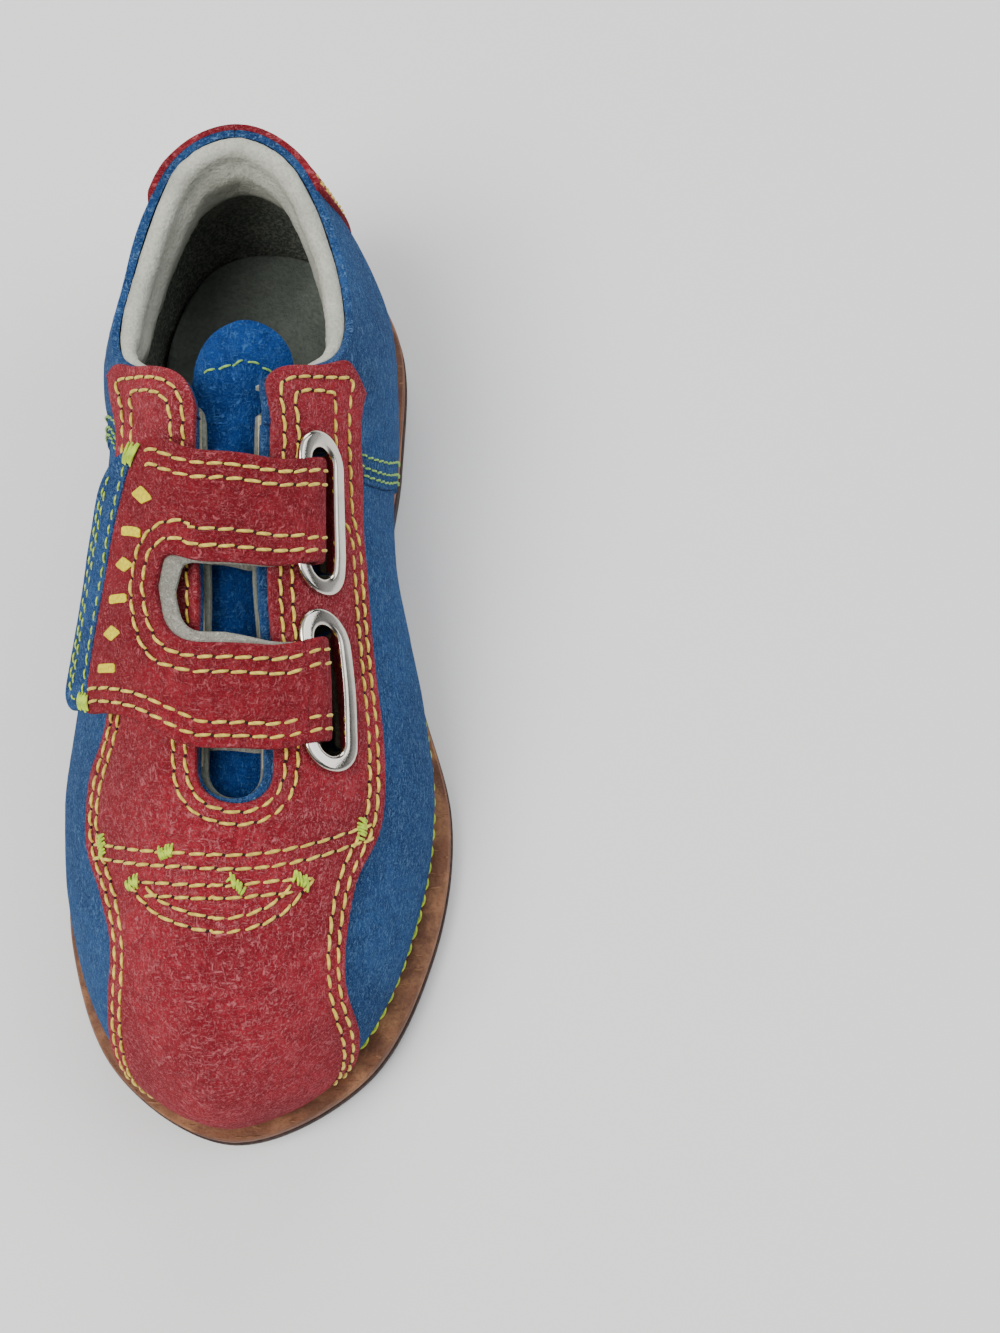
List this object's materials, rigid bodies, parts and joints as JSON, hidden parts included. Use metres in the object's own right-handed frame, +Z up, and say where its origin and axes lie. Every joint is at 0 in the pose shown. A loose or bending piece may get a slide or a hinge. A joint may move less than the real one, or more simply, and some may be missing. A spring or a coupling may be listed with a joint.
{
  "type": "bowling shoe",
  "caption": "Low-cut child's bowling shoe for the right foot, suede upper on a stacked sole, closed by a fold-back strap through oblong grommets.",
  "frame": {"origin": "on the floor under the middle of the shoe's bounding box", "axes": "+Z up, toe towards -Y, heel towards +Y, inner (medial) side of the foot towards +X"},
  "size_m": [0.0806, 0.205, 0.0779],
  "materials": {
    "blue_suede": "brushed suede",
    "red_suede": "brushed suede",
    "grey_lining": "brushed knit",
    "stiffener": "impregnated board",
    "foam": "open-cell foam",
    "nickel": "polished nickel plate",
    "hook_tape": "hook and loop tape",
    "midsole_leather": "stained edge",
    "outsole_rubber": "matt",
    "heel_rubber": "matt",
    "insole_board": "fibre board",
    "sock_liner": "worn foam-backed cloth",
    "cork": "cork",
    "shank_steel": "plain"
  },
  "bodies": {
    "shoe": {"outsole": "outsole_rubber", "midsole": "midsole_leather", "heel_block": "heel_rubber", "shank": "shank_steel", "forepart_filler": "cork", "insole_board": "insole_board", "sock_liner": "sock_liner", "vamp": "blue_suede", "quarter_medial": "blue_suede", "quarter_lateral": "blue_suede", "apron": "red_suede", "heel_patch": "red_suede", "toe_puff": "stiffener", "heel_counter": "stiffener", "facing_stay_medial": "stiffener", "facing_stay_lateral": "stiffener", "collar_foam": "foam", "vamp_lining": "grey_lining", "quarter_lining": "grey_lining", "grommet_front": "nickel", "grommet_rear": "nickel", "grommet_washer_front": "nickel", "grommet_washer_rear": "nickel", "under_band_front": "grey_lining", "under_band_rear": "grey_lining", "loop_patch": "hook_tape"},
    "strap_flap": {"strap_flap": "red_suede", "strap_flap_lining": "grey_lining", "hook_patch": "hook_tape", "pull_tab": "blue_suede"},
    "tongue": {"tongue": "blue_suede", "tongue_lining": "grey_lining"}
  },
  "joints": [
    {"name": "strap_fold", "type": "hinge", "parent": "shoe", "child": "strap_flap", "pos_m": [0.01837, -0.0056, 0.0579], "axis": [-0.0231, 0.9614, 0.2743], "range_deg": [0, 160]},
    {"name": "tongue_root", "type": "hinge", "parent": "shoe", "child": "tongue", "pos_m": [-0.00073, -0.0444, 0.0405], "axis": [1, 0, 0], "range_deg": [-14, 0]}
  ]
}
